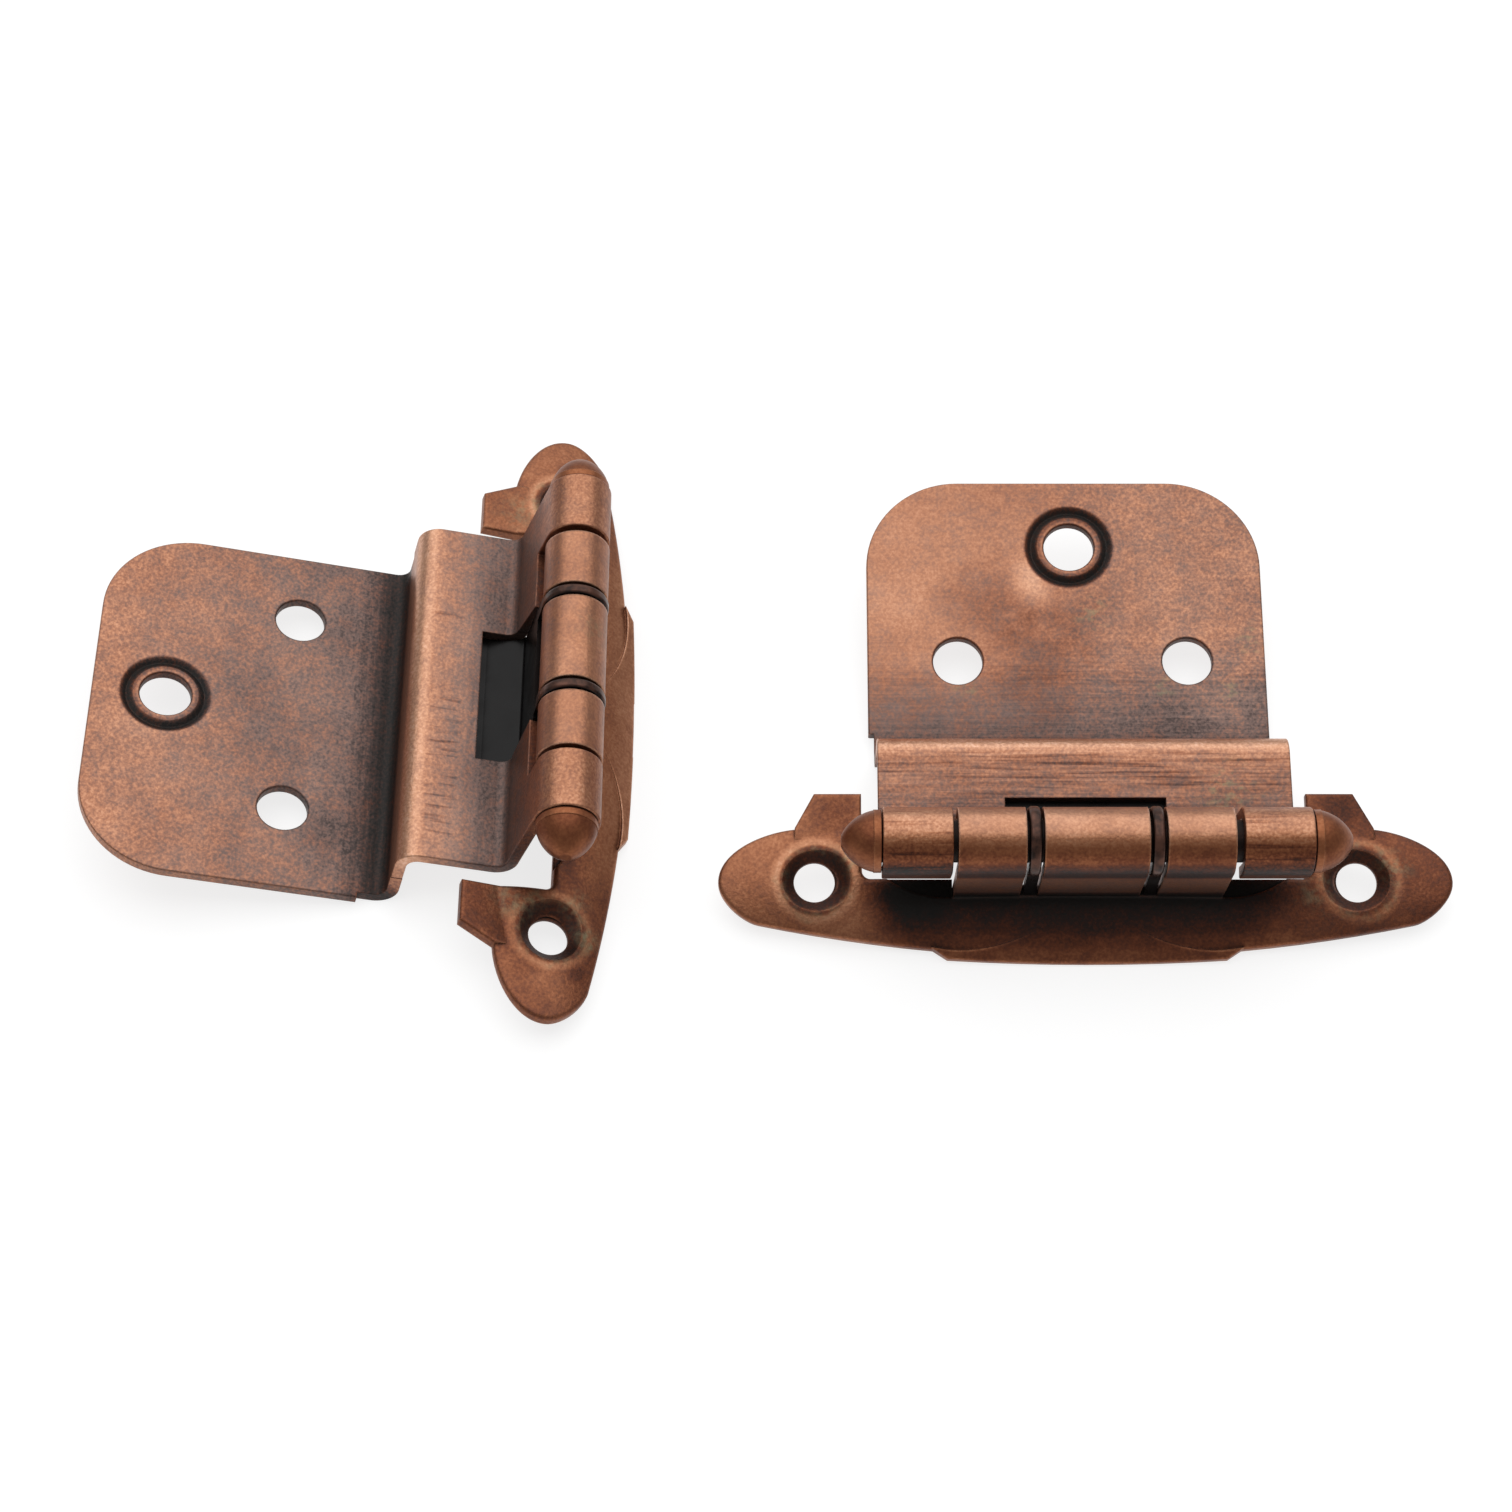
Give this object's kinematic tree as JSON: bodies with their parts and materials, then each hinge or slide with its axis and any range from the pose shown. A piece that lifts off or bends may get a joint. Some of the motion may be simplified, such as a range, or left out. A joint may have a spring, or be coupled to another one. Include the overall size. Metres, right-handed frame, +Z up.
{
  "type": "pair of cabinet hinges",
  "caption": "Self-closing inset cabinet hinges in antique copper, each with a folded door plate, an oval face leaf and pointed pin tips, lying on a surface.",
  "frame": {"origin": "on the table, below the middle of the box round both hinges", "axes": "+X along the right hinge's pin and the longest side of the pair, +Y along the left hinge's pin, +Z up from the table"},
  "size_m": [0.1276, 0.068, 0.016],
  "materials": {
    "antique_copper": "antique copper plating over stamped steel, brushed back on the high spots",
    "copper_tips": "antique copper plating over turned steel",
    "black_spring": "black oxide spring steel"
  },
  "bodies": {
    "door_leaves": {"right_door_leaf": "antique_copper", "right_hinge_pin": "copper_tips", "right_pin_tip": "copper_tips", "right_closing_spring": "black_spring", "left_door_leaf": "antique_copper", "left_hinge_pin": "copper_tips", "left_pin_tip": "copper_tips", "left_closing_spring": "black_spring"},
    "right_frame": {"right_frame_leaf": "antique_copper"},
    "left_frame": {"left_frame_leaf": "antique_copper"}
  },
  "joints": [
    {"name": "right_frame_swing", "type": "hinge", "parent": "door_leaves", "child": "right_frame", "pos_m": [0.02991, -0.0211, 0.01281], "axis": [-1, 0, 0], "range_deg": [0, 184], "stiffness_Nm_per_rad": 0.02, "springref_deg": -28.65},
    {"name": "left_frame_swing", "type": "hinge", "parent": "door_leaves", "child": "left_frame", "pos_m": [-0.01779, 0.00015, 0.01281], "axis": [0, -1, 0], "range_deg": [0, 184], "stiffness_Nm_per_rad": 0.02, "springref_deg": -28.65}
  ]
}
